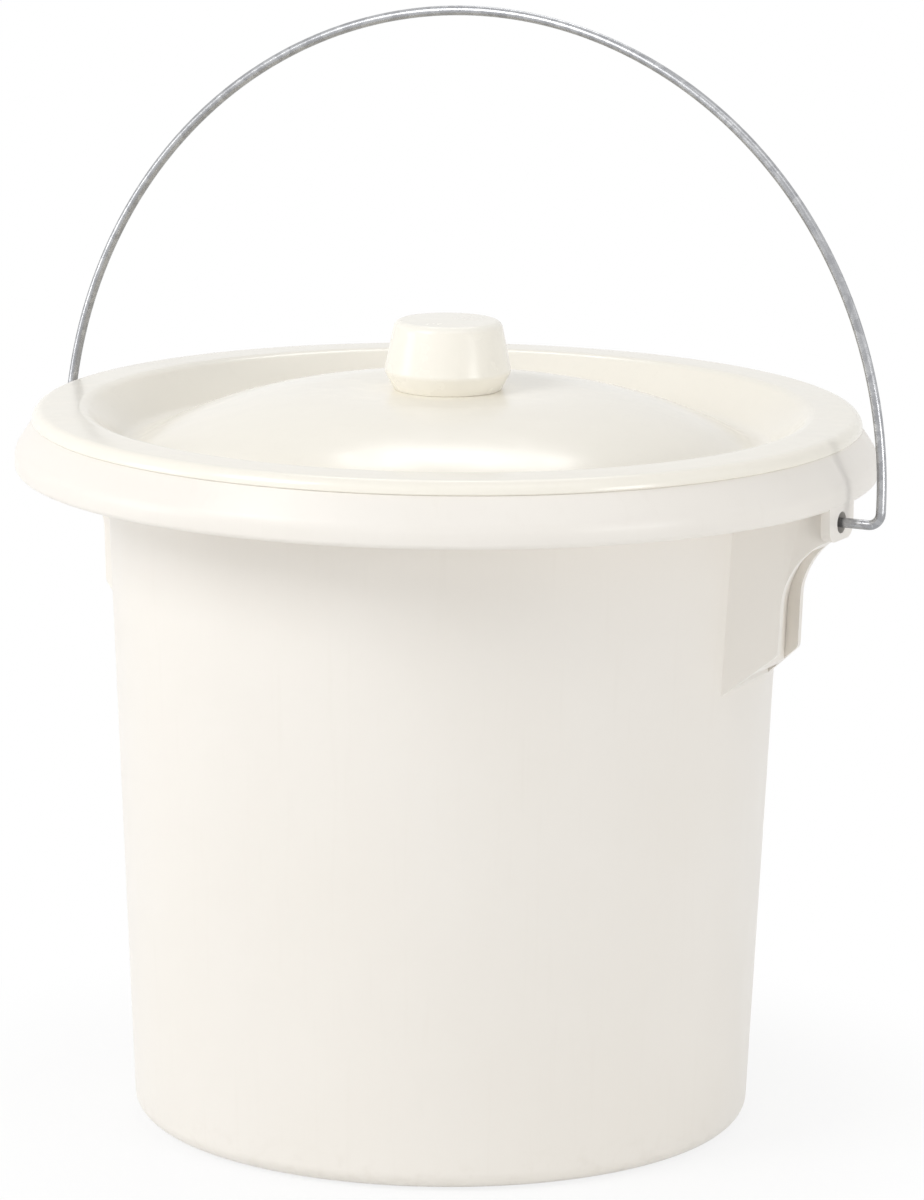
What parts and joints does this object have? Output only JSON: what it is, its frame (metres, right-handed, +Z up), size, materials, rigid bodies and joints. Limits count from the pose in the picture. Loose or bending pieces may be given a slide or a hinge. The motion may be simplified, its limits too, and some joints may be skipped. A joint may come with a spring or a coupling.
{
  "type": "lidded slop pail",
  "caption": "Tapered plastic slop pail with a turned-down rim, a sunk lift-off lid with a round knob, and a wire carrying bail that swings in ears under the rim.",
  "frame": {"origin": "middle of the base, on the plane the pail stands on", "axes": "+Z up along the pail's axis; +X towards the ear on the right of the picture, along the bail's axis; -Y towards the front"},
  "size_m": [0.3298, 0.31, 0.4023],
  "materials": {
    "pail_plastic": "moulded, soft gloss, cream white",
    "knob_plastic": "moulded, soft gloss, cream",
    "wire_steel": "drawn, plated wire",
    "screw_steel": "plated"
  },
  "bodies": {
    "pail": {"pail": "pail_plastic"},
    "lid": {"lid": "pail_plastic", "knob": "knob_plastic", "knob_screw": "screw_steel"},
    "bail": {"bail": "wire_steel"}
  },
  "joints": [
    {"name": "bail_swing", "type": "hinge", "parent": "pail", "child": "bail", "pos_m": [0, 0, 0.2316], "axis": [1, 0, 0], "range_deg": [-131, 139]},
    {"name": "lid_lift", "type": "slide", "parent": "pail", "child": "lid", "axis": [0, 0, 1], "range_m": [0, 0.025]}
  ]
}
